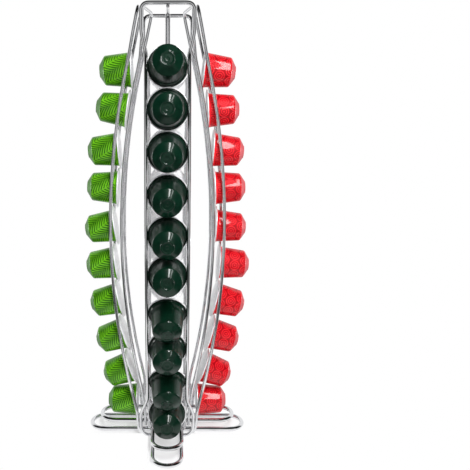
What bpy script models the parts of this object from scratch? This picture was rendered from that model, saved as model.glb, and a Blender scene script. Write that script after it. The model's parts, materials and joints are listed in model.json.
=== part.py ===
"""Countertop capsule dispenser: a bent-wire tower with four columns of small coffee capsules.

Each column is a lane between an outer and an inner wire frame. Capsules go in at the mouth on top, their
flanges run down the lane, and the lowest one lies on the tray wire. The four columns are alike but for
their tops. +Z is up, the axis of the tower is X = Y = 0, and the front column faces -Y.
Lengths are in metres and angles in degrees.
"""

import math

import bmesh
import bpy
from mathutils import Matrix, Vector

# Capsule
FLANGE_DIAMETER = 0.037
FLANGE_THICKNESS = 0.0012
CUP_BASE_DIAMETER = 0.031
CUP_SHOULDER_DIAMETER = 0.0257
CUP_LENGTH = 0.0238
NOSE_LENGTH = 0.0044
NOSE_DIAMETER = 0.0118
NOSE_RIM_WIDTH = 0.0008
NOSE_RECESS_DEPTH = 0.0009
CAPSULE_SIDES = 16

# Stack of capsules in one column
STACK_COUNT = 9
PITCH_SHARE = 0.98
MEAN_DROOP = 9.0
# Each capsule hangs differently in its lane: shares of the mean droop, from the top one down
DROOP_SHARES = {
    "front": (0.55, 1.0, 1.45, 1.45, 1.0, -0.45, 2.1, -0.2, 1.3),
    "right": (2.0, 0.85, 1.2, 0.15, 0.4, 0.15, 0.9, 0.8, 1.0),
    "back": (0.9, 0.3, 1.1, 0.5, 1.2, 0.4, 1.0, 0.7, 1.0),
    "left": (1.6, 0.2, 1.2, 0.1, 1.0, 0.6, 0.9, 1.1, 1.0),
}
# How far back each flange stands in its lane: shares of the play it has there
SEAT_SHARES = {
    "front": (0.0, 0.0, 0.0, 0.0, 0.0, 0.0, 0.0, 0.0, 0.0),
    "right": (0.0, 1.0, 1.0, 1.0, 1.0, 0.0, 0.0, 0.0, 0.0),
    "back": (0.0, 0.4, 0.0, 0.0, 0.0, 0.0, 0.0, 0.0, 0.0),
    "left": (0.0, 0.85, 0.0, 0.5, 0.0, 0.0, 0.0, 0.0, 0.0),
}

# Wires and the gap left where two of them are welded
RAIL_WIRE = 0.003
FOOT_WIRE = 0.0046
TRAY_WIRE = 0.0042
ROD_DIAMETER = 0.0045
WELD_GAP = 0.0003
RUNNING_GAP = 0.0004

# Rail arc, measured on the outer wires' centre line
RAIL_ARC_RADIUS = 0.685
RAIL_REACH = 0.0525
RAIL_ARC_HEIGHT = 0.202
RAIL_DEPTH = 0.0101

# Loading mouth: it begins a little above the top capsule's middle
MOUTH_RISE = 0.01
MOUTH_HEIGHT = 0.0407
SHOULDER_SHARE = 0.42
MOUTH_SIDE_PLAY = 0.0041
END_TOP_REACH = 0.034
SIDE_TOP_REACH = 0.0254
FAR_TOP_REACH = 0.0145
TOP_BEND = 0.005
KNEE_BEND = 0.035
MOUTH_BEND = 0.012

# Outlet at the bottom of the rails
OUTLET_SIDE_PLAY = 0.0067
OUTLET_BEND = 0.012
OUTLET_REACH = 0.029
HEEL_REACH = 0.0245
INNER_HEEL_REACH = 0.0212

# Foot and tray, each a clover of four loops
TRAY_HEIGHT = 0.0115
TRAY_HALF_WIDTH = 0.0136
TRAY_REACH = 0.066
TRAY_LIP = 0.0008
TRAY_LIP_REACH = 0.05
FOOT_REACH = 0.0765
CLOVER_BEND = 0.0045
TIP_ROUND_SHARE = 0.98
OUTLET_LID_REACH = 0.0295

ARC_STEPS = 8
BEND_STEPS = 3
WIRE_FACETS = 8

# Worked out from the sizes above
FLANGE_RADIUS = FLANGE_DIAMETER / 2
RAIL_RADIUS = RAIL_WIRE / 2
RAIL_HALF_WIDTH = FLANGE_RADIUS
STACK_PITCH = FLANGE_DIAMETER * PITCH_SHARE
PIVOT_REACH = RAIL_REACH - RAIL_ARC_RADIUS
MOUTH_HALF_WIDTH = RAIL_HALF_WIDTH + MOUTH_SIDE_PLAY
OUTLET_HALF_WIDTH = RAIL_HALF_WIDTH + OUTLET_SIDE_PLAY
RAIL_WELD = RAIL_WIRE + WELD_GAP
LEG_SIDE = TRAY_HALF_WIDTH + TRAY_WIRE / 2
FOOT_HALF_WIDTH = LEG_SIDE - FOOT_WIRE / 2
FLAT_SHARE = math.cos(math.pi / WIRE_FACETS)
FOOT_HEIGHT = FOOT_WIRE / 2 * FLAT_SHARE
CROSS_ROOM = TRAY_HEIGHT - TRAY_WIRE / 2 * FLAT_SHARE - FOOT_HEIGHT * 2
CROSS_HEIGHT = FOOT_HEIGHT * 2 + CROSS_ROOM / 2
CROSS_WIRE = (CROSS_ROOM - WELD_GAP * 2) / FLAT_SHARE
FLANGE_ON_TRAY = FLANGE_RADIUS + TRAY_WIRE / 2 + RUNNING_GAP
OUTLET_AXIS_HEIGHT = TRAY_HEIGHT + math.sqrt(FLANGE_ON_TRAY ** 2 - TRAY_HALF_WIDTH ** 2)

COLUMN_ANGLES = {"front": 0.0, "right": 90.0, "back": 180.0, "left": 270.0}
END_COLUMNS = ("front", "back")
CUP_COLOURS = {
    "front": (0.006, 0.045, 0.028),
    "right": (0.80, 0.035, 0.045),
    "back": (0.006, 0.045, 0.028),
    "left": (0.13, 0.50, 0.02),
}


def clear_scene():
    for item in list(bpy.data.objects):
        bpy.data.objects.remove(item, do_unlink=True)


def metal(name, colour, roughness):
    material = bpy.data.materials.new(name)
    material.use_nodes = True
    shader = material.node_tree.nodes["Principled BSDF"]
    shader.inputs["Base Color"].default_value = (*colour, 1.0)
    shader.inputs["Metallic"].default_value = 1.0
    shader.inputs["Roughness"].default_value = roughness
    return material


def chrome():
    return metal("polished_chrome", (0.60, 0.605, 0.615), 0.08)


def cup_aluminium(column):
    return metal(column + "_cup_aluminium", CUP_COLOURS[column], 0.28)


def at_column(lateral, reach, height):
    """A point of a column: lateral along the lane's width, reach out from the tower's axis."""
    return Vector((lateral, -reach, height))


def droop(column, index):
    """How far a stacked capsule's nose hangs below the lane's own normal; index 0 is the top one."""
    shares = DROOP_SHARES[column]
    return math.radians(MEAN_DROOP * shares[index % len(shares)])


def lane_seat(tilt, share=0.0):
    """How far behind the outer wires' centre line a flange's middle is when it hangs at this tilt."""
    half_chord = math.sqrt(FLANGE_RADIUS ** 2 - (RAIL_HALF_WIDTH - RAIL_RADIUS / 2) ** 2)
    lean = half_chord * math.sin(abs(tilt)) + FLANGE_THICKNESS / 2 * math.cos(tilt)
    play = RAIL_DEPTH - RAIL_WIRE - (RUNNING_GAP + lean) * 2
    return RAIL_RADIUS + RUNNING_GAP + lean + play * share


def lowest_stack_angle():
    """Angle on the rail arc at which the lowest stacked flange just clears the outlet capsule below."""
    floor_height = OUTLET_AXIS_HEIGHT + FLANGE_RADIUS + RUNNING_GAP
    tilt = math.radians(MEAN_DROOP)
    radius = RAIL_ARC_RADIUS - lane_seat(tilt)
    angle = 0.0
    for _ in range(STACK_COUNT):
        drop = FLANGE_RADIUS * math.cos(angle - tilt)
        angle = math.asin((floor_height + drop - RAIL_ARC_HEIGHT) / radius)
    return angle


def stack_angle(index):
    """Angle of a stacked capsule on the rail arc; index 0 is the top one."""
    step = STACK_PITCH / RAIL_ARC_RADIUS
    return lowest_stack_angle() + step * (STACK_COUNT - 1 - index)


def rail_arc(lateral, inset):
    """Points up one rail, from the outlet to the mouth, on the arc that all the rails share."""
    radius = RAIL_ARC_RADIUS - inset
    low = stack_angle(STACK_COUNT - 1) - FLANGE_RADIUS / RAIL_ARC_RADIUS
    high = stack_angle(0) + MOUTH_RISE / RAIL_ARC_RADIUS
    if inset > 0:
        low = max(low, -math.acos((INNER_HEEL_REACH - PIVOT_REACH) / radius))
        low = min(low, high)
    points = []
    for step in range(ARC_STEPS + 1):
        angle = low + (high - low) * step / ARC_STEPS
        reach = PIVOT_REACH + radius * math.cos(angle)
        points.append(at_column(lateral, reach, RAIL_ARC_HEIGHT + radius * math.sin(angle)))
    return points


def rail_corners(lateral, inset):
    """One rail as corners of a bent wire; the last one is the knee where the mouth begins."""
    points = rail_arc(lateral, inset)
    return [(point, 0.0) for point in points[:-1]] + [(points[-1], KNEE_BEND)]


def top_height():
    return rail_arc(0.0, 0.0)[-1].z + MOUTH_HEIGHT


def bend(before, corner, after, radius):
    """Points of the arc that rounds one corner of a bent wire."""
    to_before = before - corner
    to_after = after - corner
    half = to_before.angle(to_after) / 2
    room = min(to_before.length, to_after.length) / 2
    cut = min(radius / math.tan(half), room)
    if radius == 0 or cut < radius / WIRE_FACETS ** 3:
        return [corner]
    true_radius = cut * math.tan(half)
    middle = (to_before.normalized() + to_after.normalized()).normalized()
    centre = corner + middle * (true_radius / math.sin(half))
    start = corner + to_before.normalized() * cut - centre
    end = corner + to_after.normalized() * cut - centre
    turn = math.pi - 2 * half
    steps = max(1, math.ceil(turn / (math.pi / 2) * BEND_STEPS))
    return [centre + start.slerp(end, step / steps) * true_radius for step in range(steps + 1)]


def bent_wire(corners, closed=False):
    """The centre line of a wire through its corners, each given as (point, bend radius)."""
    count = len(corners)
    points = []
    for number, (corner, radius) in enumerate(corners):
        if not closed and number in (0, count - 1):
            points.append(corner)
            continue
        before = corners[number - 1][0]
        after = corners[(number + 1) % count][0]
        points.extend(bend(before, corner, after, radius))
    return points


def wire_curve(name, points, diameter, closed=False, lies_flat=False):
    """A round wire along the points. One that lies flat has a facet underneath, where it rests."""
    curve = bpy.data.curves.new(name, "CURVE")
    curve.dimensions = "3D"
    curve.bevel_depth = diameter / 2
    curve.bevel_resolution = (WIRE_FACETS - 4) // 2
    curve.use_fill_caps = True
    curve.twist_mode = "Z_UP" if lies_flat else "MINIMUM"
    spline = curve.splines.new("POLY")
    spline.points.add(len(points) - 1)
    for target, point in zip(spline.points, points):
        target.co = (*point, 1.0)
        target.tilt = math.pi / WIRE_FACETS if lies_flat else 0.0
    spline.use_cyclic_u = closed
    return curve


def place(name, data, material, parent=None):
    item = bpy.data.objects.new(name, data)
    bpy.context.collection.objects.link(item)
    if not data.materials:
        data.materials.append(material)
    item.parent = parent
    return item


def column_empty(column):
    empty = bpy.data.objects.new(column + "_column", None)
    bpy.context.collection.objects.link(empty)
    empty.rotation_euler = (0, 0, math.radians(COLUMN_ANGLES[column]))
    return empty


def heel(side):
    """The outer wire's lower end: it spreads for the flange, then curls in to the foot wire."""
    foot = FOOT_HEIGHT + (RAIL_WIRE - FOOT_WIRE) / 2 + WELD_GAP
    foot = max(foot, RAIL_RADIUS)
    bulge_height = OUTLET_AXIS_HEIGHT
    curl_height = OUTLET_AXIS_HEIGHT - FLANGE_RADIUS
    curl_side = (OUTLET_HALF_WIDTH + LEG_SIDE) / 2
    corner_reach = OUTLET_HALF_WIDTH + RAIL_WELD / math.sqrt(2) + WELD_GAP
    return [
        (at_column(side * (LEG_SIDE + WELD_GAP), HEEL_REACH, foot), 0.0),
        (at_column(side * curl_side, HEEL_REACH, foot), RAIL_WIRE),
        (at_column(side * OUTLET_HALF_WIDTH, corner_reach, curl_height), OUTLET_BEND),
        (at_column(side * OUTLET_HALF_WIDTH, OUTLET_REACH, bulge_height), OUTLET_BEND),
    ]


def mouth_leg(side, top_reach):
    """The outer wire's upper end: from the rail's knee it widens and goes up to the top bar."""
    knee = rail_arc(side * RAIL_HALF_WIDTH, 0.0)[-1]
    top = top_height()
    shoulder_height = knee.z + MOUTH_HEIGHT * SHOULDER_SHARE
    shoulder_reach = -knee.y + (top_reach + knee.y) * SHOULDER_SHARE
    return [
        (at_column(side * MOUTH_HALF_WIDTH, shoulder_reach, shoulder_height), KNEE_BEND),
        (at_column(side * MOUTH_HALF_WIDTH, top_reach, top), TOP_BEND),
    ]


def outer_frame_points(top_reach):
    """One closed outer frame: up one rail, over the top bar and down the other rail."""
    corners = []
    for side in (1, -1):
        leg = heel(side)
        leg += rail_corners(side * RAIL_HALF_WIDTH, 0.0)
        leg += mouth_leg(side, top_reach)
        corners += leg if side > 0 else leg[::-1]
    return bent_wire(corners)


def inner_foot(side):
    """The inner wire's lower end: straight down beside the legs of the tray wire."""
    weld_side = LEG_SIDE + WELD_GAP + RAIL_RADIUS
    return [
        (at_column(side * weld_side, INNER_HEEL_REACH, TRAY_HEIGHT - TRAY_WIRE / 2), 0.0),
        (at_column(side * weld_side, INNER_HEEL_REACH, TRAY_HEIGHT + TRAY_WIRE * 2), OUTLET_BEND),
    ]


def end_inner_top(side):
    """On the front and back columns the inner wire rises to lie right behind the outer top bar."""
    inner_end = rail_arc(side * RAIL_HALF_WIDTH, RAIL_DEPTH)[-1]
    top = top_height()
    shoulder = (inner_end.z + top) / 2
    reach = SIDE_TOP_REACH - RAIL_RADIUS + WELD_GAP * 2
    return [
        (at_column(side * MOUTH_HALF_WIDTH, reach, shoulder), MOUTH_BEND),
        (at_column(side * MOUTH_HALF_WIDTH, reach, top - MOUTH_BEND), MOUTH_BEND / 2),
        (at_column(side * MOUTH_HALF_WIDTH, END_TOP_REACH - RAIL_WELD, top), TOP_BEND),
    ]


def side_inner_top(side, near):
    """On the side columns the inner wire's top bar slants: its near corner stands further out."""
    inner_end = rail_arc(side * RAIL_HALF_WIDTH, RAIL_DEPTH)[-1]
    top = top_height()
    shoulder = (inner_end.z + top) / 2
    if side == near:
        lateral = MOUTH_HALF_WIDTH - RAIL_RADIUS
        reach = SIDE_TOP_REACH - RAIL_WELD
        return [
            (at_column(side * lateral, reach, shoulder), MOUTH_BEND),
            (at_column(side * lateral, reach, top), TOP_BEND),
        ]
    lateral = RAIL_HALF_WIDTH
    middle_reach = (FAR_TOP_REACH - inner_end.y) / 2
    return [
        (at_column(side * lateral, middle_reach, shoulder), MOUTH_BEND),
        (at_column(side * lateral, FAR_TOP_REACH, top), TOP_BEND),
    ]


def inner_frame_points(column):
    near = {"left": 1, "right": -1}.get(column)
    corners = []
    for side in (1, -1):
        leg = inner_foot(side)
        leg += rail_corners(side * RAIL_HALF_WIDTH, RAIL_DEPTH)
        leg += side_inner_top(side, near) if near else end_inner_top(side)
        corners += leg if side > 0 else leg[::-1]
    return bent_wire(corners)


def clover_points(half_width, reach, height):
    """A wire bent into four long loops, one under each column, with round tips and inner corners."""
    corners = []
    tip_bend = half_width * TIP_ROUND_SHARE
    for angle in COLUMN_ANGLES.values():
        turn = Matrix.Rotation(math.radians(angle), 4, "Z")
        loop = [
            (at_column(-half_width, half_width, height), CLOVER_BEND),
            (at_column(-half_width, reach, height), tip_bend),
            (at_column(half_width, reach, height), tip_bend),
        ]
        corners += [(turn @ point, radius) for point, radius in loop]
    return bent_wire(corners, closed=True)


def raise_lips(points):
    """Bend the four tray loops gently upwards beyond the outlet capsule's flange."""
    for point in points:
        reach = max(abs(point.x), abs(point.y))
        rise = max(0.0, (reach - TRAY_LIP_REACH) / (TRAY_REACH - TRAY_LIP_REACH))
        point.z += TRAY_LIP * rise
    return points


def make_foot(material):
    points = clover_points(FOOT_HALF_WIDTH, FOOT_REACH, FOOT_HEIGHT)
    place("foot_wire", wire_curve("foot_wire", points, FOOT_WIRE, True, True), material)


def make_tray(material):
    points = raise_lips(clover_points(TRAY_HALF_WIDTH, TRAY_REACH, TRAY_HEIGHT))
    place("tray_wire", wire_curve("tray_wire", points, TRAY_WIRE, True, True), material)


def make_base_cross(material):
    """Two short wires welded across each other, between the foot wire and the tray wire."""
    half_length = TRAY_HALF_WIDTH * math.sqrt(2) + CROSS_WIRE
    arms = []
    for name, angle in (("base_cross", 45.0), ("base_cross_arm", 135.0)):
        mesh = bpy.data.meshes.new(name)
        shape = bmesh.new()
        bmesh.ops.create_cone(
            shape, cap_ends=True, segments=WIRE_FACETS, radius1=CROSS_WIRE / 2,
            radius2=CROSS_WIRE / 2, depth=half_length * 2)
        lay = Matrix.Rotation(math.pi / 2, 4, "X") @ Matrix.Rotation(math.pi / WIRE_FACETS, 4, "Z")
        bmesh.ops.transform(shape, matrix=lay, verts=shape.verts)
        shape.to_mesh(mesh)
        shape.free()
        arm = place(name, mesh, material)
        arm.location = (0, 0, CROSS_HEIGHT)
        arm.rotation_euler = (0, 0, math.radians(angle))
        arms.append(arm)
    weld = arms[0].modifiers.new("weld", "BOOLEAN")
    weld.operation = "UNION"
    weld.object = arms[1]
    arms[1].hide_render = True
    arms[1].display_type = "WIRE"
    return CROSS_HEIGHT + CROSS_WIRE / 2


def make_top_cross(material):
    """The bar from the front to the back, welded under the top bars. Gives its underside's height."""
    height = top_height() - RAIL_WELD
    half = END_TOP_REACH + RAIL_RADIUS
    points = [Vector((0, -half, height)), Vector((0, half, height))]
    place("top_cross_wire", wire_curve("top_cross_wire", points, RAIL_WIRE), material)
    return height - RAIL_RADIUS


def make_rod(material, low, high):
    points = [Vector((0, 0, low + WELD_GAP)), Vector((0, 0, high - WELD_GAP))]
    place("centre_rod", wire_curve("centre_rod", points, ROD_DIAMETER), material)


def capsule_mesh(name):
    """A capsule turned about -Y: flat lid at the origin, rolled flange, tapered cup, recessed nose."""
    shoulder = FLANGE_THICKNESS + CUP_LENGTH
    nose = shoulder + NOSE_LENGTH
    recess_radius = NOSE_DIAMETER / 2 - NOSE_RIM_WIDTH
    outline = [
        (FLANGE_RADIUS, 0.0),
        (FLANGE_RADIUS, FLANGE_THICKNESS),
        (CUP_BASE_DIAMETER / 2, FLANGE_THICKNESS),
        (CUP_SHOULDER_DIAMETER / 2, shoulder),
        (NOSE_DIAMETER / 2, nose),
        (recess_radius, nose - NOSE_RECESS_DEPTH),
    ]
    shape = bmesh.new()
    verts = [shape.verts.new((radius, -along, 0)) for radius, along in outline]
    edges = [shape.edges.new(pair) for pair in zip(verts, verts[1:])]
    bmesh.ops.spin(
        shape, geom=verts + edges, cent=(0, 0, 0), axis=(0, 1, 0), angle=2 * math.pi,
        steps=CAPSULE_SIDES, use_merge=True)
    bmesh.ops.holes_fill(shape, edges=shape.edges, sides=CAPSULE_SIDES)
    bmesh.ops.recalc_face_normals(shape, faces=shape.faces)
    mesh = bpy.data.meshes.new(name)
    shape.to_mesh(mesh)
    shape.free()
    mesh.shade_smooth()
    mesh.set_sharp_from_angle(angle=math.radians(30.0))
    return mesh


def make_stack(column, parent, mesh, material):
    """The capsules above the outlet, on a pivot at the rail arc's centre: they slide up the lane."""
    pivot = bpy.data.objects.new(column + "_stack_pivot", None)
    bpy.context.collection.objects.link(pivot)
    pivot.parent = parent
    pivot.location = at_column(0, PIVOT_REACH, RAIL_ARC_HEIGHT)
    for index in range(STACK_COUNT):
        tilt = droop(column, index)
        angle = stack_angle(index)
        seats = SEAT_SHARES[column]
        seat = lane_seat(tilt, seats[index % len(seats)])
        lid_radius = RAIL_ARC_RADIUS - seat - FLANGE_THICKNESS / 2 * math.cos(tilt)
        capsule = place(f"{column}_capsule_{index + 1:02d}", mesh, material, pivot)
        capsule.location = at_column(0, lid_radius * math.cos(angle), lid_radius * math.sin(angle))
        capsule.rotation_euler = (tilt - angle, 0, 0)


def make_outlet_capsule(column, parent, mesh, material):
    """The lowest capsule lies level, its flange's edge on the two legs of the tray."""
    capsule = place(f"{column}_capsule_{STACK_COUNT + 1:02d}", mesh, material, parent)
    capsule.location = at_column(0, OUTLET_LID_REACH, OUTLET_AXIS_HEIGHT)


def make_column(column, chrome_material, capsule):
    parent = column_empty(column)
    top_reach = END_TOP_REACH if column in END_COLUMNS else SIDE_TOP_REACH
    outer = wire_curve(column + "_outer_frame", outer_frame_points(top_reach), RAIL_WIRE)
    place(column + "_outer_frame", outer, chrome_material, parent)
    inner = wire_curve(column + "_inner_frame", inner_frame_points(column), RAIL_WIRE)
    place(column + "_inner_frame", inner, chrome_material, parent)
    mesh = capsule.copy()
    material = cup_aluminium(column)
    make_stack(column, parent, mesh, material)
    make_outlet_capsule(column, parent, mesh, material)


def main():
    clear_scene()
    chrome_material = chrome()
    make_foot(chrome_material)
    make_tray(chrome_material)
    low = make_base_cross(chrome_material)
    high = make_top_cross(chrome_material)
    make_rod(chrome_material, low, high)
    capsule = capsule_mesh("capsule")
    for column in COLUMN_ANGLES:
        make_column(column, chrome_material, capsule)


main()
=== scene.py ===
import json
import math

import bpy
import numpy as np
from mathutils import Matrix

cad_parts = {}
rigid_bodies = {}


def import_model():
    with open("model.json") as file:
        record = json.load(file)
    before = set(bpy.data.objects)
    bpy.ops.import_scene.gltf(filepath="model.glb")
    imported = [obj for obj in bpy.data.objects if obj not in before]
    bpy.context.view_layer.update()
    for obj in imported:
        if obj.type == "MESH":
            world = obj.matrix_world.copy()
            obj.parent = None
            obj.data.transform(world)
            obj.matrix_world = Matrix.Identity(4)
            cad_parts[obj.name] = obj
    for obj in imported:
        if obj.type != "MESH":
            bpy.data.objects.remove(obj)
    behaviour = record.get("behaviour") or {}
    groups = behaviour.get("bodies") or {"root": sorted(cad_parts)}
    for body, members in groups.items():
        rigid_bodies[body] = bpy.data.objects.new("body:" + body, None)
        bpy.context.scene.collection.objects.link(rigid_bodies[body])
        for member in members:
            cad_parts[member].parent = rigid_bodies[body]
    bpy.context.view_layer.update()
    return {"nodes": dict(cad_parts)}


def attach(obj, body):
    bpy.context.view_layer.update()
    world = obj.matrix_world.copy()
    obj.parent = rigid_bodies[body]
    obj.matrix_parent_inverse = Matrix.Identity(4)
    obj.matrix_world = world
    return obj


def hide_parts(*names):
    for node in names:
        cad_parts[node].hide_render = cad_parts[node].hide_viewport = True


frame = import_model()
print("frame loaded:", len(frame["nodes"]), "nodes")

columns = {"front": 0.0, "right": 90.0, "back": 180.0, "left": 270.0}  # degrees about the tower's axis
endColumns = ("front", "back")


# Shapes: a surface is an array of points, rows along it and columns around it

fineness = {"bendSteps": 9, "leastTurn": 0.02, "soften": 4, "wireSides": 20, "endRings": 3}  # leastTurn in radians


def unit(vectors):
    return vectors / np.linalg.norm(vectors, axis=-1, keepdims=True)


def turnedBy(points, degrees):
    # the points turned about the tower's upright axis
    angle = math.radians(degrees)
    turn = np.array([[math.cos(angle), -math.sin(angle), 0],
                     [math.sin(angle), math.cos(angle), 0],
                     [0, 0, 1]])
    return points @ turn.T


def roundCorner(before, corner, after, radius):
    # the arc that touches both straight runs at a corner, turned evenly about its own centre
    back, ahead = unit(before - corner), unit(after - corner)
    half = math.acos(float(np.clip(back @ ahead, -1, 1))) / 2
    turn = math.pi - 2 * half
    room = min(np.linalg.norm(before - corner), np.linalg.norm(after - corner)) / 2
    cut = min(radius / math.tan(half), room)
    if radius == 0 or turn < fineness["leastTurn"]:
        return corner[None]
    trueRadius = cut * math.tan(half)
    centre = corner + unit(back + ahead) * trueRadius / math.sin(half)
    start, end = corner + back * cut - centre, corner + ahead * cut - centre
    share = np.linspace(0, 1, fineness["bendSteps"])[:, None]
    return centre + (start * np.sin((1 - share) * turn) + end * np.sin(share * turn)) / math.sin(turn)


def bentLine(corners, closed=False):
    # a line through its corners, each given as (point, bend radius)
    places = [np.array(point, float) for point, radius in corners]
    count = len(corners)
    runs = []
    for number, (point, radius) in enumerate(corners):
        if not closed and number in (0, count - 1):
            runs.append(places[number][None])
        else:
            runs.append(roundCorner(places[number - 1], places[number], places[(number + 1) % count], radius))
    return np.vstack(runs)


def evenLine(points, closed=False):
    # the same line at even steps, each point then the weighted mean of its neighbours
    soften = fineness["soften"]
    if closed:
        points = np.vstack([points, points[:1]])
    along = np.r_[0, np.cumsum(np.linalg.norm(np.diff(points, axis=0), axis=1))]
    at = np.linspace(0, along[-1], int(round(along[-1] / wire["spacing"])) + 1)
    even = np.stack([np.interp(at, along, points[:, axis]) for axis in range(3)], axis=1)
    if closed:
        even = even[:-1]
        padded = np.vstack([even[-soften:], even, even[:soften]])
    else:
        head = 2 * even[0] - even[soften:0:-1]
        tail = 2 * even[-1] - even[-2:-soften - 2:-1]
        padded = np.vstack([head, even, tail])
    weights = np.hanning(2 * soften + 3)[1:-1]
    weights = weights / weights.sum()
    return np.stack([np.convolve(padded[:, axis], weights, "valid") for axis in range(3)], axis=1)


def wireSkin(line, radius, aside, closed=False):
    # skin(step, angle) = line(step) + radius * (cos(angle) * across + sin(angle) * over); open ends are rounded off
    if closed:
        heading = unit(np.roll(line, -1, axis=0) - np.roll(line, 1, axis=0))
        girth = np.full(len(line), radius)
    else:
        heading = unit(np.gradient(line, axis=0))
        rings = fineness["endRings"]
        lean = np.linspace(math.pi / 2, 0, rings + 1, endpoint=False)[1:]
        line = np.vstack([line[0] - heading[0] * radius * np.sin(lean)[:, None], line,
                          line[-1] + heading[-1] * radius * np.sin(lean[::-1])[:, None]])
        heading = np.vstack([np.repeat(heading[:1], rings, axis=0), heading,
                             np.repeat(heading[-1:], rings, axis=0)])
        girth = np.r_[radius * np.cos(lean), np.full(len(line) - 2 * rings, radius), radius * np.cos(lean[::-1])]
    across = unit(np.cross(heading, aside))
    over = np.cross(across, heading)
    angle = np.linspace(0, 2 * math.pi, fineness["wireSides"], endpoint=False)[None, :, None]
    return line[:, None] + girth[:, None, None] * (np.cos(angle) * across[:, None] + np.sin(angle) * over[:, None])


def turnedSkin(outline, sides):
    # skin(row, angle) = (radius * cos, -along, radius * sin): the outline turned about the -Y axis
    angle = np.linspace(0, 2 * math.pi, sides, endpoint=False)[None, :]
    along, radius = outline[:, 0][:, None], outline[:, 1][:, None]
    return np.stack([radius * np.cos(angle), -along + 0 * angle, radius * np.sin(angle)], axis=2)


def signedVolume(points, faces):
    # of the closed surface; below zero where its faces look inwards
    a, b, c, d = (points[faces[:, k]] for k in range(4))
    return float(np.sum(a * np.cross(b, c)) + np.sum(a * np.cross(c, d))) / 6


def skinParts(skin, closed=False):
    # points, faces and each face corner's place on the skin; open ends close on their middle point
    rows, sides = skin.shape[:2]
    points = skin.reshape(-1, 3)
    row = np.arange(rows if closed else rows - 1)[:, None]
    side = np.arange(sides)[None, :]
    nextRow, nextSide = (row + 1) % rows, (side + 1) % sides
    faces = np.stack([row * sides + side, row * sides + nextSide,
                      nextRow * sides + nextSide, nextRow * sides + side], axis=2).reshape(-1, 4)
    along = np.stack([row, row, row + 1, row + 1], axis=2) / (rows - 1) + np.zeros((1, sides, 1))
    around = np.stack([side, side + 1, side + 1, side], axis=2) / sides + np.zeros((len(row), 1, 1))
    places = np.stack([around, along], axis=3).reshape(-1, 4, 2)
    if not closed:
        middles = np.stack([skin[0].mean(axis=0), skin[-1].mean(axis=0)])
        points = np.vstack([points, middles])
        side = side[0]
        for middle, first, turn in ((rows * sides, 0, 1), (rows * sides + 1, (rows - 1) * sides, -1)):
            ring, ahead = first + side, first + (side + 1) % sides
            pair = (ahead, ring) if turn > 0 else (ring, ahead)
            hub = np.full(sides, middle)
            fan = np.stack([hub, pair[0], pair[1], hub], axis=1)
            share = 0.0 if turn > 0 else 1.0
            spots = np.stack([(side + 0.5) / sides, (side + (turn > 0)) / sides,
                              (side + (turn < 0)) / sides, (side + 0.5) / sides], axis=1)
            faces = np.vstack([faces, fan])
            places = np.vstack([places, np.stack([spots, np.full(spots.shape, share)], axis=2)])
    if signedVolume(points, faces) < 0:
        faces, places = faces[:, ::-1], places[:, ::-1]
    return points, faces, places


def makePiece(name, skins, material, body, nodes=()):
    # skins: list of (skin, closed). All of them become one mesh at the origin, which rides its body
    parts = [skinParts(skin, closed) for skin, closed in skins]
    points, faces, places, start = [], [], [], 0
    for ownPoints, ownFaces, ownPlaces in parts:
        points.append(ownPoints)
        faces += [face[:3] if face[0] == face[3] else face for face in (ownFaces + start).tolist()]
        fan = (ownFaces[:, 0] == ownFaces[:, 3])[:, None] & (np.arange(4) == 3)
        places.append(ownPlaces[~fan])
        start += len(ownPoints)
    mesh = bpy.data.meshes.new(name)
    mesh.from_pydata(np.vstack(points).tolist(), [], faces)
    mesh.uv_layers.new(name="surface").data.foreach_set("uv", np.vstack(places).astype(np.float32).ravel())
    mesh.shade_smooth()
    mesh.materials.append(material)
    piece = bpy.data.objects.new(name, mesh)
    bpy.context.scene.collection.objects.link(piece)
    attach(piece, body)
    if nodes:
        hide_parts(*nodes)
    return piece


# Shader maths

class Signal:
    # one socket of a node tree; sums and products on it add Math nodes
    def __init__(self, tree, socket=None):
        self.tree = tree
        self.socket = socket

    def make(self, kind, settings=None, sockets=None, output=0):
        # a new node with these settings and inputs, given as one of its outputs
        node = self.tree.nodes.new(kind)
        for name, value in (settings or {}).items():
            setattr(node, name, value)
        self.feed(node, sockets or {})
        return Signal(self.tree, node.outputs[output])

    def out(self, output):
        # another output of the node that this signal comes from
        return Signal(self.tree, self.socket.node.outputs[output])

    def feed(self, node, sockets):
        for name, value in sockets.items():
            if isinstance(value, Signal):
                self.tree.links.new(value.socket, node.inputs[name])
            else:
                node.inputs[name].default_value = value

    def maths(self, operation, *values):
        return self.make("ShaderNodeMath", {"operation": operation}, dict(enumerate(values)))

    def __add__(self, other):
        return self.maths("ADD", self, other)

    def __sub__(self, other):
        return self.maths("SUBTRACT", self, other)

    def __rsub__(self, other):
        return self.maths("SUBTRACT", other, self)

    def __mul__(self, other):
        return self.maths("MULTIPLY", self, other)

    def __truediv__(self, other):
        return self.maths("DIVIDE", self, other)

    def smooth(self, low, high):
        # 0 below low, 1 above high, eased between
        return self.make("ShaderNodeMapRange", {"interpolation_type": "SMOOTHSTEP"},
                         {"Value": self, "From Min": low, "From Max": high})

    def mixed(self, first, second):
        # the first colour where this is 0, the second where it is 1
        return self.make("ShaderNodeMix", {"data_type": "RGBA"},
                         {"Factor": self, 6: first, 7: second}, output=2)

    def bump(self, height, strength, distance):
        # the normal that a height gives
        return self.make("ShaderNodeBump", None,
                         {"Height": height, "Strength": strength, "Distance": distance})


def newMaterial(name):
    material = bpy.data.materials.new(name)
    material.use_nodes = True
    shader = material.node_tree.nodes["Principled BSDF"]
    return material, Signal(material.node_tree), shader


def objectNoise(start, scale, detail, stretch=(1, 1, 1)):
    place = start.make("ShaderNodeTexCoord", output="Object")
    place = start.make("ShaderNodeMapping", None, {"Vector": place, "Scale": stretch})
    return start.make("ShaderNodeTexNoise", None, {"Vector": place, "Scale": scale, "Detail": detail})


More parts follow.
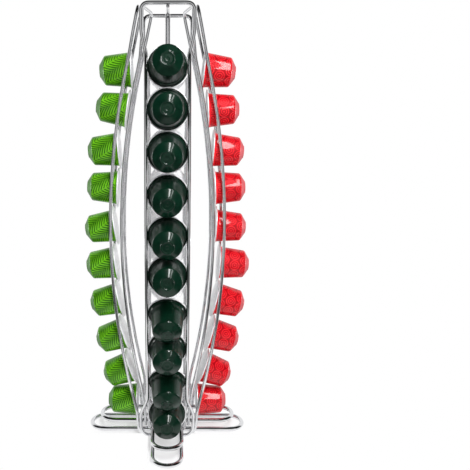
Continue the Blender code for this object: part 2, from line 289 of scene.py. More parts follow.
chromeLook = {"colour": (0.80, 0.805, 0.82, 1), "dull": (0.62, 0.625, 0.64, 1), "roughness": 0.06, "weld": 0.12,
              "smudgeNoise": (60, 4), "smudgeRange": (0.48, 0.74), "smudge": 0.04,  # a noise is (scale, detail)
              "grainNoise": (1400, 1), "grain": 0.01, "relief": 0.01, "depth": 0.0001}


def chromeMaterial(name, extraRoughness=0.0):
    # plated steel: mirror bright, with faint smudges and the draw marks of the wire under the plating
    material, start, shader = newMaterial(name)
    smudge = objectNoise(start, *chromeLook["smudgeNoise"]).smooth(*chromeLook["smudgeRange"])
    grain = objectNoise(start, *chromeLook["grainNoise"])
    start.feed(shader, {
        "Base Color": smudge.mixed(chromeLook["colour"], chromeLook["dull"]),
        "Metallic": 1.0,
        "Roughness": (smudge * chromeLook["smudge"] + grain * chromeLook["grain"]
                      + (chromeLook["roughness"] + extraRoughness)),
        "Normal": start.bump(grain, chromeLook["relief"], chromeLook["depth"]),
    })
    return material


foilLook = {"colour": (0.94, 0.94, 0.945, 1), "shade": (0.78, 0.785, 0.80, 1), "roughness": 0.34, "metal": 0.35,
            "creaseNoise": (420, 3), "creaseRange": (0.35, 0.7), "grainNoise": (900, 2, (1, 1, 7)), "grain": 0.16,
            "relief": 0.3, "depth": 0.0002}


def foilMaterial():
    # bare aluminium foil: satin, with a fine rolled grain and shallow creases
    material, start, shader = newMaterial("lid_foil")
    crease = objectNoise(start, *foilLook["creaseNoise"])
    grain = objectNoise(start, *foilLook["grainNoise"])
    start.feed(shader, {
        "Base Color": crease.smooth(*foilLook["creaseRange"]).mixed(foilLook["colour"], foilLook["shade"]),
        "Metallic": foilLook["metal"],
        "Roughness": grain * foilLook["grain"] + foilLook["roughness"],
        "Normal": start.bump(crease, foilLook["relief"], foilLook["depth"]),
    })
    return material


lacquerLooks = {
    "dark_green": {"light": (0.0012, 0.017, 0.008, 1), "deep": (0.0002, 0.003, 0.002, 1),
                   "dome": (0.0015, 0.018, 0.009, 1), "metal": 0.05, "roughness": 0.30, "relief": 0.1,
                   "coatIor": 1.29},
    "bright_green": {"light": (0.15, 0.49, 0.012, 1), "deep": (0.008, 0.065, 0.002, 1),
                     "dome": (0.045, 0.185, 0.008, 1), "metal": 0.25, "roughness": 0.30, "relief": 0.5,
                     "coatIor": 1.3},
    "red": {"light": (0.80, 0.016, 0.026, 1), "deep": (0.34, 0.001, 0.005, 1),
            "dome": (0.50, 0.045, 0.055, 1), "metal": 0.1, "roughness": 0.32, "relief": 0.2,
            "coatIor": 1.36},
}
lacquerCoat = {"mottleNoise": (160, 3), "mottleRange": (0.3, 0.75), "mottleShade": 0.4, "mottleHeight": 0.12,
               "mottleRoughness": 0.05, "grainNoise": (1200, 1), "grain": 0.04, "underPattern": 0.4,
               "grooveShade": 0.9, "rimPaintedShade": 0.6, "specular": 0.08, "edgeRange": (0.45, 0.78), "edgeLoss": 0.9,
               "roughness": 0.04, "depth": 0.0002}
cupPattern = {"rimRange": (0.035, 0.05), "wallRange": (0.09, 0.11), "domeRange": (0.84, 0.86), "turnStep": 0.37,
              "leaves": 5, "twist": 1.0, "ribs": 8.97, "ribTurns": 14, "lean": 3.4, "curve": 3.4, "leafStep": 0.4,
              "veinRange": (-0.8, 0.2), "spineRange": (0.035, 0.02), "leafRange": (0.1, 0.5), "leafEdgePaintedShade": 0.5,
              "cells": 9, "cellRows": 3.0, "rings": 2.6, "ringRange": (-0.3, 0.5), "cellRange": (0.56, 0.50)}


def wallMask(start):
    # 1 on the cup's tapered wall, 1 on its dome, and the place around and along it
    place = start.make("ShaderNodeUVMap", {"uv_map": "surface"})
    around = start.make("ShaderNodeSeparateXYZ", None, {"Vector": place})
    along = around.out(1)
    mask = along.smooth(*cupPattern["wallRange"])
    dome = along.smooth(*cupPattern["domeRange"])
    return mask * (1 - dome), dome, around, along


def herringbone(around, along):
    # veins that lean alike on both sides of slanting spines: the count along a spine, plus the lean away from it;
    # each leaf's veins start a step further along than its neighbour's, and it darkens towards its edges, which is
    # painted shade, as of leaf facets turned from the light, that also outlines each leaf
    turn = around * cupPattern["leaves"] + along * cupPattern["twist"]
    aside = turn.maths("PINGPONG", turn, 0.5)
    phase = along * cupPattern["ribs"] - around * cupPattern["ribTurns"]
    leaf = turn.maths("FLOOR", turn + 0.5)
    phase = phase + leaf * cupPattern["leafStep"] + aside * (aside * cupPattern["curve"] + cupPattern["lean"])
    vein = phase.maths("SINE", phase * (2 * math.pi)).smooth(*cupPattern["veinRange"])
    vein = vein.maths("MAXIMUM", vein, aside.smooth(*cupPattern["spineRange"]))
    return vein * (1 - aside.smooth(*cupPattern["leafRange"]) * cupPattern["leafEdgePaintedShade"])


def ringedDots(around, along):
    # concentric rings in staggered cells
    row = along * cupPattern["cellRows"]
    step = row.maths("FLOOR", row)
    across = around * cupPattern["cells"] + step * 0.5
    across = across.maths("FRACT", across) - 0.5
    down = row.maths("FRACT", row) - 0.5
    spread = across * across + down * down
    reach = spread.maths("SQRT", spread)
    wave = reach.maths("SINE", reach * (cupPattern["rings"] * 4 * math.pi))
    return wave.smooth(*cupPattern["ringRange"]) * reach.smooth(*cupPattern["cellRange"])


def lacquerMaterial(name, look, pattern=None):
    # coloured lacquer on pressed aluminium, with a clear top coat that shines less where it is seen edge on
    material, start, shader = newMaterial(name)
    mottle = objectNoise(start, *lacquerCoat["mottleNoise"])
    shade = mottle.smooth(*lacquerCoat["mottleRange"]) * lacquerCoat["mottleShade"]
    height = mottle * lacquerCoat["mottleHeight"]
    mask, dome, around, along = wallMask(start)
    if pattern:
        relief = pattern(around, along)
        # darker where the pattern lies low: its printed lines, together with painted shade in its grooves
        shade = shade * lacquerCoat["underPattern"] + mask * (1 - relief) * lacquerCoat["grooveShade"]
        height = height + relief * mask
    # painted shade: the flange and the foot of the cup darkened towards the lid, standing in for the shadow and dark
    # reflections they take between the wires
    shade = shade + (1 - along.smooth(*cupPattern["rimRange"])) * lacquerCoat["rimPaintedShade"]
    tint = dome.mixed(look["light"], look["dome"])
    grain = objectNoise(start, *lacquerCoat["grainNoise"])
    edge = start.make("ShaderNodeLayerWeight", None, {"Blend": 0.5}, output="Facing")
    start.feed(shader, {
        "Base Color": shade.mixed(tint, look["deep"]),
        "Metallic": look["metal"],
        "Roughness": grain * lacquerCoat["grain"] + mottle * lacquerCoat["mottleRoughness"] + look["roughness"],
        "Specular IOR Level": lacquerCoat["specular"],
        "Coat Weight": 1 - edge.smooth(*lacquerCoat["edgeRange"]) * lacquerCoat["edgeLoss"],
        "Coat IOR": look["coatIor"],
        "Coat Roughness": lacquerCoat["roughness"],
        "Normal": start.bump(height, look["relief"], lacquerCoat["depth"]),
    })
    return material


chrome = chromeMaterial("polished_chrome")
weldChrome = chromeMaterial("weld_chrome", chromeLook["weld"])
foil = foilMaterial()
lacquers = {
    "front": lacquerMaterial("dark_green_lacquer", lacquerLooks["dark_green"]),
    "right": lacquerMaterial("red_lacquer", lacquerLooks["red"], ringedDots),
    "back": bpy.data.materials["dark_green_lacquer"],
    "left": lacquerMaterial("bright_green_lacquer", lacquerLooks["bright_green"], herringbone),
}
print("materials ready")


# Sizes of the capsules, the lanes and the wires, in metres and degrees, as in the CAD

capsule = {"flangeRadius": 0.0185, "thickness": 0.0012, "baseRadius": 0.0155, "shoulderRadius": 0.01285,
           "wall": 0.0238, "dome": 0.0044, "noseRadius": 0.0059, "sides": 72}
stack = {"count": 9, "pitchShare": 0.98, "meanDroop": 9.0, "rounds": 9}
# from a column's top capsule down: its droop as a share of the mean one, and its share of the lane's play
droopShares = {"front": (0.55, 1.0, 1.45, 1.45, 1.0, -0.45, 2.1, -0.2, 1.3),
               "right": (2.0, 0.85, 1.2, 0.15, 0.4, 0.15, 0.9, 0.8, 1.0),
               "back": (0.9, 0.3, 1.1, 0.5, 1.2, 0.4, 1.0, 0.7, 1.0),
               "left": (1.6, 0.2, 1.2, 0.1, 1.0, 0.6, 0.9, 1.1, 1.0)}
seatShares = {"front": (0, 0, 0, 0, 0, 0, 0, 0, 0), "right": (0, 1, 1, 1, 1, 0, 0, 0, 0),
              "back": (0, 0.4, 0, 0, 0, 0, 0, 0, 0), "left": (0, 0.85, 0, 0.5, 0, 0, 0, 0, 0)}
wire = {"rail": 0.003, "foot": 0.0046, "tray": 0.0042, "rod": 0.0045, "weld": 0.0003, "running": 0.0004,
        "spacing": 0.0012}
rail = {"radius": 0.685, "reach": 0.0525, "height": 0.202, "depth": 0.0101, "steps": 240}
mouth = {"rise": 0.01, "height": 0.0407, "shoulder": 0.42, "knee": 0.035, "play": 0.0041, "endReach": 0.034,
         "sideReach": 0.0254, "farReach": 0.0145, "topBend": 0.005, "bend": 0.012}
outlet = {"play": 0.0067, "bend": 0.012, "reach": 0.029, "heel": 0.0245, "innerHeel": 0.0212, "lid": 0.0295}
foot = {"height": 0.0115, "halfWidth": 0.0136, "trayReach": 0.066, "lip": 0.0008, "lipFrom": 0.05,
        "reach": 0.0765, "bend": 0.0045, "tipShare": 0.98}

railRadius = wire["rail"] / 2
pivotReach = rail["reach"] - rail["radius"]
halfLane = capsule["flangeRadius"]
halfMouth = halfLane + mouth["play"]
halfOutlet = halfLane + outlet["play"]
railWeld = wire["rail"] + wire["weld"]
legSide = foot["halfWidth"] + wire["tray"] / 2  # where the legs stand, against the tray wire's outside
halfFoot = legSide - wire["foot"] / 2
flatShare = math.cos(math.pi / 8)  # how high the eight-sided CAD wire lies, as a share of its radius
footHeight = wire["foot"] / 2 * flatShare
flangeOnTray = capsule["flangeRadius"] + wire["tray"] / 2 + wire["running"]
outletHeight = foot["height"] + math.sqrt(flangeOnTray ** 2 - foot["halfWidth"] ** 2)


def atColumn(lateral, reach, height):
    # a place in a column's own axes, which are those of the front column
    return np.array([lateral, -reach, height])


def droop(column, index):
    # how far a capsule's nose hangs down in its lane, in radians
    return math.radians(stack["meanDroop"] * droopShares[column][index])


def laneSeat(tilt, share=0):
    # how far behind the outer wires' centre line a flange's middle is at this tilt and share of the lane's play
    halfChord = math.sqrt(capsule["flangeRadius"] ** 2 - (halfLane - railRadius / 2) ** 2)
    lean = halfChord * math.sin(abs(tilt)) + capsule["thickness"] / 2 * math.cos(tilt)
    play = rail["depth"] - wire["rail"] - (wire["running"] + lean) * 2
    return railRadius + wire["running"] + lean + play * share


def lowestAngle():
    # where on the arc the lowest stacked flange clears the capsule in the outlet, found in a few rounds
    floorHeight = outletHeight + capsule["flangeRadius"] + wire["running"]
    tilt = math.radians(stack["meanDroop"])
    angle = 0.0
    for _ in range(stack["rounds"]):
        drop = capsule["flangeRadius"] * math.cos(angle - tilt)
        angle = math.asin((floorHeight + drop - rail["height"]) / (rail["radius"] - laneSeat(tilt)))
    return angle


def stackAngle(index):
    # a capsule's place on the arc, counted from the top
    step = capsule["flangeRadius"] * 2 * stack["pitchShare"] / rail["radius"]
    return lowestAngle() + step * (stack["count"] - 1 - index)


# Wires: each follows the centre line of its CAD node, with finer bends

def railArc(lateral, inset):
    # point(angle) = pivot + radius * (outwards * cos(angle) + up * sin(angle)), from heel to mouth
    radius = rail["radius"] - inset
    low = stackAngle(stack["count"] - 1) - capsule["flangeRadius"] / rail["radius"]
    high = stackAngle(0) + mouth["rise"] / rail["radius"]
    if inset > 0:
        low = max(low, -math.acos((outlet["innerHeel"] - pivotReach) / radius))
    angle = np.linspace(low, high, rail["steps"])
    return np.stack([np.full(rail["steps"], lateral), -(pivotReach + radius * np.cos(angle)),
                     rail["height"] + radius * np.sin(angle)], axis=1)


def railCorners(lateral, inset):
    # the arc as corners without a bend, and the knee where the mouth begins
    points = railArc(lateral, inset)
    return [(point, 0) for point in points[:-1]] + [(points[-1], mouth["knee"])]


topHeight = railArc(0, 0)[-1, 2] + mouth["height"]


def heelCorners(side):
    # from the curl round the foot wire, out and up to the lane's wide outlet
    low = max(footHeight + (wire["rail"] - wire["foot"]) / 2 + wire["weld"], railRadius)
    curlSide = (halfOutlet + legSide) / 2
    cornerReach = halfOutlet + railWeld / math.sqrt(2) + wire["weld"]
    return [
        (atColumn(side * (legSide + wire["weld"]), outlet["heel"], low), 0),
        (atColumn(side * curlSide, outlet["heel"], low), wire["rail"]),
        (atColumn(side * halfOutlet, cornerReach, outletHeight - capsule["flangeRadius"]), outlet["bend"]),
        (atColumn(side * halfOutlet, outlet["reach"], outletHeight), outlet["bend"]),
    ]


def mouthCorners(side, topReach):
    # from the knee to the wider top bar
    knee = railArc(side * halfLane, 0)[-1]
    height = knee[2] + mouth["height"] * mouth["shoulder"]
    reach = -knee[1] + (topReach + knee[1]) * mouth["shoulder"]
    return [
        (atColumn(side * halfMouth, reach, height), mouth["knee"]),
        (atColumn(side * halfMouth, topReach, topHeight), mouth["topBend"]),
    ]


def outerLine(column):
    topReach = mouth["endReach"] if column in endColumns else mouth["sideReach"]
    corners = []
    for side in (1, -1):
        leg = heelCorners(side) + railCorners(side * halfLane, 0) + mouthCorners(side, topReach)
        corners += leg if side > 0 else leg[::-1]
    return bentLine(corners)


def innerTop(column, side):
    # behind the front and back columns it is as wide as the mouth; at the side columns it slants
    end = railArc(side * halfLane, rail["depth"])[-1]
    shoulder = (end[2] + topHeight) / 2
    if column in endColumns:
        reach = mouth["sideReach"] - railRadius + wire["weld"] * 2
        return [
            (atColumn(side * halfMouth, reach, shoulder), mouth["bend"]),
            (atColumn(side * halfMouth, reach, topHeight - mouth["bend"]), mouth["bend"] / 2),
            (atColumn(side * halfMouth, mouth["endReach"] - railWeld, topHeight), mouth["topBend"]),
        ]
    if side == (1 if column == "left" else -1):  # the corner towards the front stands further out
        lateral, reach = halfMouth - railRadius, mouth["sideReach"] - railWeld
        return [
            (atColumn(side * lateral, reach, shoulder), mouth["bend"]),
            (atColumn(side * lateral, reach, topHeight), mouth["topBend"]),
        ]
    return [
        (atColumn(side * halfLane, (mouth["farReach"] - end[1]) / 2, shoulder), mouth["bend"]),
        (atColumn(side * halfLane, mouth["farReach"], topHeight), mouth["topBend"]),
    ]


def innerLine(column):
    weldSide = legSide + wire["weld"] + railRadius
    corners = []
    for side in (1, -1):
        leg = [
            (atColumn(side * weldSide, outlet["innerHeel"], foot["height"] - wire["tray"] / 2), 0),
            (atColumn(side * weldSide, outlet["innerHeel"], foot["height"] + wire["tray"] * 2), outlet["bend"]),
        ]
        leg += railCorners(side * halfLane, rail["depth"]) + innerTop(column, side)
        corners += leg if side > 0 else leg[::-1]
    return bentLine(corners)


def cloverLine(halfWidth, reach, height):
    # four long loops with round tips, one under each column
    corners = []
    for angle in columns.values():
        loop = [(atColumn(-halfWidth, halfWidth, height), foot["bend"]),
                (atColumn(-halfWidth, reach, height), halfWidth * foot["tipShare"]),
                (atColumn(halfWidth, reach, height), halfWidth * foot["tipShare"])]
        corners += [(turnedBy(point, angle), radius) for point, radius in loop]
    return bentLine(corners, closed=True)


def makeWire(node, line, diameter, aside, closed=False):
    line = evenLine(line, closed)
    skin = wireSkin(line, diameter / 2, np.array(aside, float), closed)
    return makePiece(node + "_round", [(skin, closed)], chrome, "rack", [node])


for column, angle in columns.items():
    outward = turnedBy(np.array([0.0, -1.0, 0.0]), angle)
    makeWire(column + "_outer_frame", turnedBy(outerLine(column), angle), wire["rail"], outward)
    makeWire(column + "_inner_frame", turnedBy(innerLine(column), angle), wire["rail"], outward)

makeWire("foot_wire", cloverLine(halfFoot, foot["reach"], footHeight), wire["foot"] * flatShare, (0, 0, 1), True)
trayLine = cloverLine(foot["halfWidth"], foot["trayReach"], foot["height"])
trayReach = np.abs(trayLine[:, :2]).max(axis=1)
trayLine[:, 2] += foot["lip"] * np.clip((trayReach - foot["lipFrom"]) / (foot["trayReach"] - foot["lipFrom"]), 0, 1)
makeWire("tray_wire", trayLine, wire["tray"], (0, 0, 1), True)

crossRoom = foot["height"] - wire["tray"] / 2 * flatShare - footHeight * 2
crossHeight = footHeight * 2 + crossRoom / 2
crossRadius = (crossRoom - wire["weld"] * 2) / 2
crossReach = foot["halfWidth"] * math.sqrt(2) + crossRadius * 2
crossArms = []
for angle in (45, 135):
    arm = turnedBy(np.array([[-crossReach, 0, crossHeight], [crossReach, 0, crossHeight]]), angle)
    crossArms.append((wireSkin(evenLine(arm), crossRadius, np.array([0.0, 0, 1])), False))
makePiece("base_cross_round", crossArms, chrome, "rack", ["base_cross"])

barHeight = topHeight - railWeld
barReach = mouth["endReach"] + railRadius
makeWire("top_cross_wire", np.array([[0, -barReach, barHeight], [0, barReach, barHeight]]), wire["rail"], (0, 0, 1))
rodEnds = (crossHeight + crossRadius + wire["rod"] / 2, barHeight - railRadius - wire["rod"] / 2)
makeWire("centre_rod", np.array([[0, 0, rodEnds[0]], [0, 0, rodEnds[1]]]), wire["rod"], (0, 1, 0))
print("wires made")


# Welds: small melted saddles where wires are joined

weld = {"radius": 0.00125, "rings": 9, "sides": 14, "barShare": 0.72,  # then each bead's shares of the radius
        "heel": (1, 1.5, 1), "shin": (0.8, 1.3, 1.5), "corner": (1.5, 1.5, 0.7), "cross": (1.1, 1.1, 0.8),
        "bar": (2, 0.7, 0.8), "rodTop": (2, 1.6, 1.4), "rodFoot": (1.9, 1.9, 1)}


def beadSkin(centre, shares):
    # a squashed ball: centre + radius * shares * (sin(lean) * cos(angle), sin(lean) * sin(angle), cos(lean))
    lean = np.linspace(0, math.pi, weld["rings"] + 2)[1:-1, None]
    angle = np.linspace(0, 2 * math.pi, weld["sides"], endpoint=False)[None, :]
    ball = np.stack([np.sin(lean) * np.cos(angle), np.sin(lean) * np.sin(angle),
                     np.cos(lean) + 0 * angle], axis=2)
    return centre + ball * (np.array(shares) * weld["radius"])


def weldPlaces():
    # (point in a column's own axes, column angle, shares)
    places = []
    for angle in columns.values():
        for side in (1, -1):
            leg = side * (legSide + wire["weld"] / 2)
            places.append((atColumn(leg, outlet["heel"], footHeight), angle, weld["heel"]))
            places.append((atColumn(leg, outlet["innerHeel"], foot["height"]), angle, weld["shin"]))
        corner = foot["halfWidth"]
        for height in (footHeight * 2 + wire["weld"] / 2, foot["height"] - wire["tray"] / 2):
            places.append((atColumn(-corner, corner, height), angle, weld["corner"]))
    for end, angle in ((1, 0), (-1, 180)):
        for reach in (mouth["endReach"], mouth["endReach"] - railWeld):
            places.append((np.array([0, end * reach, topHeight - railWeld / 2]), 0, weld["cross"]))
        for side in (1, -1):
            bar = atColumn(side * halfMouth * weld["barShare"], mouth["endReach"] - railWeld / 2, topHeight)
            places.append((bar, angle, weld["bar"]))
    places.append((np.array([0, 0, rodEnds[1] + wire["rod"] / 2]), 0, weld["rodTop"]))
    places.append((np.array([0, 0, rodEnds[0] - wire["rod"] / 2]), 0, weld["rodFoot"]))
    return places


beads = [(turnedBy(beadSkin(point, shares), angle), False) for point, angle, shares in weldPlaces()]
makePiece("weld_beads", beads, weldChrome, "rack")
print("welds made:", len(beads))


# Capsules

cupRows = (  # along from this place, plus millimetres; out from this radius, plus millimetres; bend in millimetres
    ("lid", 0.5, "axis", 0.2, 0),
    ("lid", 0.5, "rim", -1.0, 0.1),
    ("lid", 0.9, "rim", -1.0, 0.1),
    ("lid", 0.9, "base", 1.0, 0.5),
    ("lid", 1.7, "base", 0.2, 0.6),
    ("lid", 3.0, "base", -0.4, 0.6),
    ("shoulder", -0.4, "shoulder", 0.1, 2.4),
    ("shoulder", 1.1, "shoulder", -2.2, 1.6),
    ("nose", -1.0, "nose", 1.1, 1.0),
    ("nose", -0.6, "nose", 0.2, 0.4),
    ("nose", 0, "nose", -0.1, 0.5),
    ("nose", -0.1, "nose", -1.0, 0.5),
    ("nose", -0.5, "nose", -1.8, 0.6),
    ("nose", -0.4, "axis", 1.8, 0.5),
    ("nose", -0.6, "axis", 1.1, 0.3),
    ("nose", -0.6, "axis", 0.1, 0),
)
lid = {"hole": 0.0001, "edge": 0.0019, "rows": 16, "bulge": 0.0006, "ripple": 0.00008, "rippleTurns": 1900,
       "rollRadius": 0.00055, "rollHeight": 0.0006, "rollTurn": 2.2, "rollRows": 15,
       "underEdge": (0.00046, 0.0012), "underMiddle": 0.00044}


def cupOutline():
    shoulder = capsule["thickness"] + capsule["wall"]
    places = {"lid": 0, "shoulder": shoulder, "nose": shoulder + capsule["dome"]}
    radii = {"axis": 0, "rim": capsule["flangeRadius"], "base": capsule["baseRadius"],
             "shoulder": capsule["shoulderRadius"], "nose": capsule["noseRadius"]}
    return bentLine([((places[place] + along / 1000, radii[radius] + out / 1000, 0), bend / 1000)
                     for place, along, radius, out, bend in cupRows])


def lidOutline():
    # a bulging foil with faint rings, then the rolled rim, a small circle that is open towards the lid
    rim = capsule["flangeRadius"]
    radius = np.linspace(lid["hole"], rim - lid["edge"], lid["rows"])
    bulge = -lid["bulge"] * (1 - (radius / radius[-1]) ** 2) - lid["ripple"] * np.sin(radius * lid["rippleTurns"])
    face = np.stack([bulge, radius], axis=1)
    turn = np.linspace(-lid["rollTurn"], lid["rollTurn"], lid["rollRows"])
    roll = np.stack([lid["rollHeight"] + lid["rollRadius"] * np.sin(turn),
                     rim - lid["rollRadius"] + lid["rollRadius"] * np.cos(turn)], axis=1)
    along, edge = lid["underEdge"]
    under = np.array([[along, rim - edge], [lid["underMiddle"], lid["hole"]]])
    return np.vstack([face, roll, under])


def placedSkin(skin, column, index):
    # drawn about -Y at the origin, then tilted about X, moved to its seat and turned to its column
    if index < stack["count"]:
        tilt, angle = droop(column, index), stackAngle(index)
        seatDepth = laneSeat(tilt, seatShares[column][index])
        radius = rail["radius"] - seatDepth - capsule["thickness"] / 2 * math.cos(tilt)
        lean = tilt - angle
        seat = atColumn(0, pivotReach + radius * math.cos(angle), rail["height"] + radius * math.sin(angle))
    else:
        lean = 0.0
        seat = atColumn(0, outlet["lid"], outletHeight)
    pitch = np.array([[1, 0, 0],
                      [0, math.cos(lean), -math.sin(lean)],
                      [0, math.sin(lean), math.cos(lean)]])
    return turnedBy(skin @ pitch.T + seat, columns[column])


def paintAlong(piece, shares, turn):
    # the map's second coordinate becomes the share of the cup's length, which the wall's pattern reads;
    # the first is turned, as each capsule lies in its lane as it fell
    layer = piece.data.uv_layers["surface"].data
    places = np.zeros(len(layer) * 2, np.float32)
    layer.foreach_get("uv", places)
    rows = places[1::2] * (len(shares) - 1)
    places[1::2] = np.interp(rows, np.arange(len(shares)), shares)
    places[0::2] += turn
    layer.foreach_set("uv", places)


cupLine, lidLine = cupOutline(), lidOutline()
cupSkin = turnedSkin(cupLine, capsule["sides"])
lidSkin = turnedSkin(lidLine, capsule["sides"])
alongShares = cupLine[:, 0] / cupLine[:, 0].max()
for column in columns:
    for index in range(stack["count"] + 1):
        node = f"{column}_capsule_{index + 1:02d}"
        body = column + ("_stack" if index < stack["count"] else "_outlet")
        cup = makePiece(node + "_cup", [(placedSkin(cupSkin, column, index), False)], lacquers[column], body,
                        [node])
        paintAlong(cup, alongShares, index * cupPattern["turnStep"])
        makePiece(node + "_lid", [(placedSkin(lidSkin, column, index), False)], foil, body)
print("capsules made")


# Floor, light and camera

floorDisc = {"radius": 4.0, "rings": 24, "sides": 64, "drop": 0.0002}
floorLook = {"colour": (0.95, 0.94, 0.96, 1), "roughness": 0.6, "specular": 0.2, "fade": 0.004, "tipFade": 0.025,
             "loopFade": 0.5, "white": (1, 1, 1, 1), "flag": (0.02, 0.02, 0.02, 1), "front": (0.5, 0.5, 0.5, 1),
             "near": (0.12, 0.12, 0.12, 1), "nearRange": (0.55, 0.8), "frontDepth": (-0.45, -0.70),
             "frontReach": (0.20, 0.35), "flagReach": (0.10, 0.18), "behindRange": (0.1, 0.5),
             "mirrorRange": (0.9, 0.3)}
flagEdges = ((-0.78, -0.60), (0.18, 0.08))  # of the depth of a heading: forward and back
walls = {"sides": 0.58, "upperSides": 0.72, "upperRange": (0.40, 0.62), "back": 0.92, "backRange": (0.14, 0.36),
         "flag": 0.02, "flagTop": (0.80, 0.60), "dark": 0.03, "darkHeading": (0, -0.342, 0.940),
         "darkRange": (0.42, 0.70)}


def makeFloor():
    # a disc: point(ring, angle) = radius of the ring * (cos, sin)
    radius = np.linspace(0, 1, floorDisc["rings"])[1:, None] ** 2 * floorDisc["radius"]
    angle = np.linspace(0, 2 * math.pi, floorDisc["sides"], endpoint=False)[None, :]
    skin = np.stack([radius * np.cos(angle), radius * np.sin(angle), 0 * radius * angle - floorDisc["drop"]], axis=2)
    rows, sides = skin.shape[:2]
    row, side = np.arange(rows - 1)[:, None], np.arange(sides)[None, :]
    ahead = (side + 1) % sides
    faces = np.stack([row * sides + side, (row + 1) * sides + side, (row + 1) * sides + ahead,
                      row * sides + ahead], axis=2).reshape(-1, 4).tolist()
    mesh = bpy.data.meshes.new("floor")
    mesh.from_pydata(skin.reshape(-1, 3).tolist(), [], [list(range(sides))] + faces)
    floor = bpy.data.objects.new("floor", mesh)
    bpy.context.scene.collection.objects.link(floor)
    mesh.materials.append(floorMaterial())


def flagShare(depth):
    # 1 where a black flag stands at the side, from how far forward or back a heading points
    forward, back = flagEdges
    return depth.smooth(*forward) * depth.smooth(*back)


def floorMaterial():
    # pale and matt. For the camera it fades to the plain white of the backdrop outside the foot's loops, and half
    # of the way inside them. For mirrors it glows with painted reflections: that white further back, black where
    # flags would stand at the sides, and in front a painted grey that is darker near the tower
    material, start, shader = newMaterial("pale_floor")
    start.feed(shader, {"Base Color": floorLook["colour"], "Roughness": floorLook["roughness"],
                        "Specular IOR Level": floorLook["specular"]})
    place = start.make("ShaderNodeTexCoord", output="Object")
    across = start.make("ShaderNodeVectorMath", {"operation": "ABSOLUTE"}, {0: place})
    first = start.make("ShaderNodeSeparateXYZ", None, {"Vector": across})
    second = first.out(1)
    aside = first.maths("MINIMUM", first, second) - legSide
    beyond = first.maths("MAXIMUM", first, second) - (foot["reach"] + wire["foot"] / 2)
    outside = aside.smooth(0, floorLook["fade"])
    outside = outside.maths("MAXIMUM", outside, beyond.smooth(-floorLook["tipFade"], 0))
    outside = outside.maths("MAXIMUM", outside, floorLook["loopFade"])
    rays = start.make("ShaderNodeLightPath", output="Is Camera Ray")
    glossy = rays.out("Is Glossy Ray")
    forward = start.make("ShaderNodeSeparateXYZ", None, {"Vector": place}).out(1)
    behind = forward.smooth(*floorLook["behindRange"])
    mirrored = behind.maths("MAXIMUM", behind, beyond.smooth(*floorLook["mirrorRange"]))
    reach = start.make("ShaderNodeVectorMath", {"operation": "LENGTH"}, {0: place}, output="Value")
    depth = forward / reach
    flag = flagShare(depth) * reach.smooth(*floorLook["flagReach"]) * glossy
    front = depth.smooth(*floorLook["frontDepth"]) * reach.smooth(*floorLook["frontReach"]) * glossy
    seen = rays.maths("MAXIMUM", rays, glossy * mirrored)
    seen = seen.maths("MAXIMUM", seen, flag.maths("MAXIMUM", flag, front))
    grey = reach.smooth(*floorLook["nearRange"]).mixed(floorLook["near"], floorLook["front"])
    # painted reflections, shown to mirrors only: black flags at the sides, grey in front, white behind
    shown = flag.mixed(front.mixed(floorLook["white"], grey), floorLook["flag"])
    white = start.make("ShaderNodeEmission", None, {"Color": shown, "Strength": 1.0})
    mixed = start.make("ShaderNodeMixShader", None,
                       {"Fac": outside * seen, 1: Signal(start.tree, shader.outputs[0]), 2: white})
    start.feed(material.node_tree.nodes["Material Output"], {"Surface": mixed})
    return material


def makeWorld():
    # a white backdrop behind, grey walls that brighten upwards, a black flag at each side, a dark ceiling in front
    world = bpy.data.worlds.new("studio")
    bpy.context.scene.world = world
    world.use_nodes = True
    start = Signal(world.node_tree)
    heading = start.make("ShaderNodeTexCoord", output="Generated")
    split = start.make("ShaderNodeSeparateXYZ", None, {"Vector": heading})
    depth, height = split.out(1), split.out(2)
    facing = start.make("ShaderNodeVectorMath", {"operation": "DOT_PRODUCT"},
                        {0: heading, 1: walls["darkHeading"]}, output="Value")
    dark = facing.smooth(*walls["darkRange"])
    level = height.smooth(*walls["upperRange"]) * (walls["upperSides"] - walls["sides"]) + walls["sides"]
    flag = flagShare(depth) * height.smooth(*walls["flagTop"])
    level = level * (1 - flag) + flag * walls["flag"]
    behind = depth.smooth(*walls["backRange"])
    level = level * (1 - behind) + behind * walls["back"]
    level = level * (1 - dark * (1 - walls["dark"]))
    rays = start.make("ShaderNodeLightPath", output="Is Camera Ray")
    backdrop = rays.maths("MAXIMUM", rays, rays.out("Is Transmission Ray"))
    strength = backdrop + (1 - backdrop) * level
    start.feed(world.node_tree.nodes["Background"], {"Color": (1, 1, 1, 1), "Strength": strength})


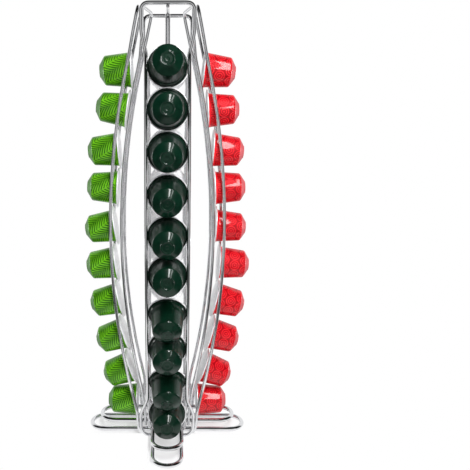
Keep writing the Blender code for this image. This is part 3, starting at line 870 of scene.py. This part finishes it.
lamps = {  # name: place, the place it looks at, size, watts
    "left_rim": ((-0.95, 0.28, 0.22), (0, 0, 0.22), (0.12, 0.44), 2.6),
    "right_rim": ((0.97, 0.28, 0.22), (0, 0, 0.22), (0.12, 0.44), 2.6),
    "key_strip": ((0.175, -0.70, 0.95), (0.175, 0, 0.17), (0.135, 0.86), 12.0),
    "side_strip": ((0.41, -0.68, 0.90), (0.41, 0.1, 0.15), (0.07, 1.0), 3.8),
}
lampLitMaterials = ("dark_green_lacquer", "bright_green_lacquer", "red_lacquer", "lid_foil", "pale_floor")


def lampLit():
    # all but the wires, in which such narrow, bright lamps would be broken white lines
    lit = bpy.data.collections.new("lamp_lit")
    for item in bpy.context.scene.objects:
        if item.type == "MESH" and any(item.data.materials.get(name) for name in lampLitMaterials):
            lit.objects.link(item)
    return lit


def makeLamps():
    # tall, narrow soft boxes: one low at each side, two in front of and above the tower
    lit = lampLit()
    for name, (place, target, size, watts) in lamps.items():
        lamp = bpy.data.lights.new(name, "AREA")
        lamp.shape = "RECTANGLE"
        lamp.size, lamp.size_y = size
        lamp.energy = watts
        item = bpy.data.objects.new(name, lamp)
        bpy.context.scene.collection.objects.link(item)
        item.location = place
        item.light_linking.receiver_collection = lit
        away = np.array(place) - np.array(target)
        item.rotation_euler = (math.atan2(np.hypot(away[0], away[1]), away[2]), 0,
                               math.atan2(away[1], away[0]) + math.pi / 2)


camera = {"place": (0, -0.53828, 0.3091), "pitch": 0.2042, "yaw": 0.0094, "focal": 574.24, "middle": 162.10,
          "frame": 470, "sensor": 36.0}  # pixels of the photograph's frame, and millimetres of the sensor


def makeCamera():
    # the photograph's camera, as fitted to the capsules' flanges and the wires
    data = bpy.data.cameras.new("camera")
    data.sensor_width = camera["sensor"]
    data.lens = camera["focal"] / camera["frame"] * camera["sensor"]
    data.shift_x = 0.5 - camera["middle"] / camera["frame"]
    item = bpy.data.objects.new("camera", data)
    bpy.context.scene.collection.objects.link(item)
    item.location = camera["place"]
    item.rotation_euler = (math.pi / 2 - camera["pitch"], 0, camera["yaw"])
    bpy.context.scene.camera = item


makeFloor()
makeWorld()
makeLamps()
makeCamera()
bpy.context.scene.view_settings.view_transform = "Standard"
print("studio ready")
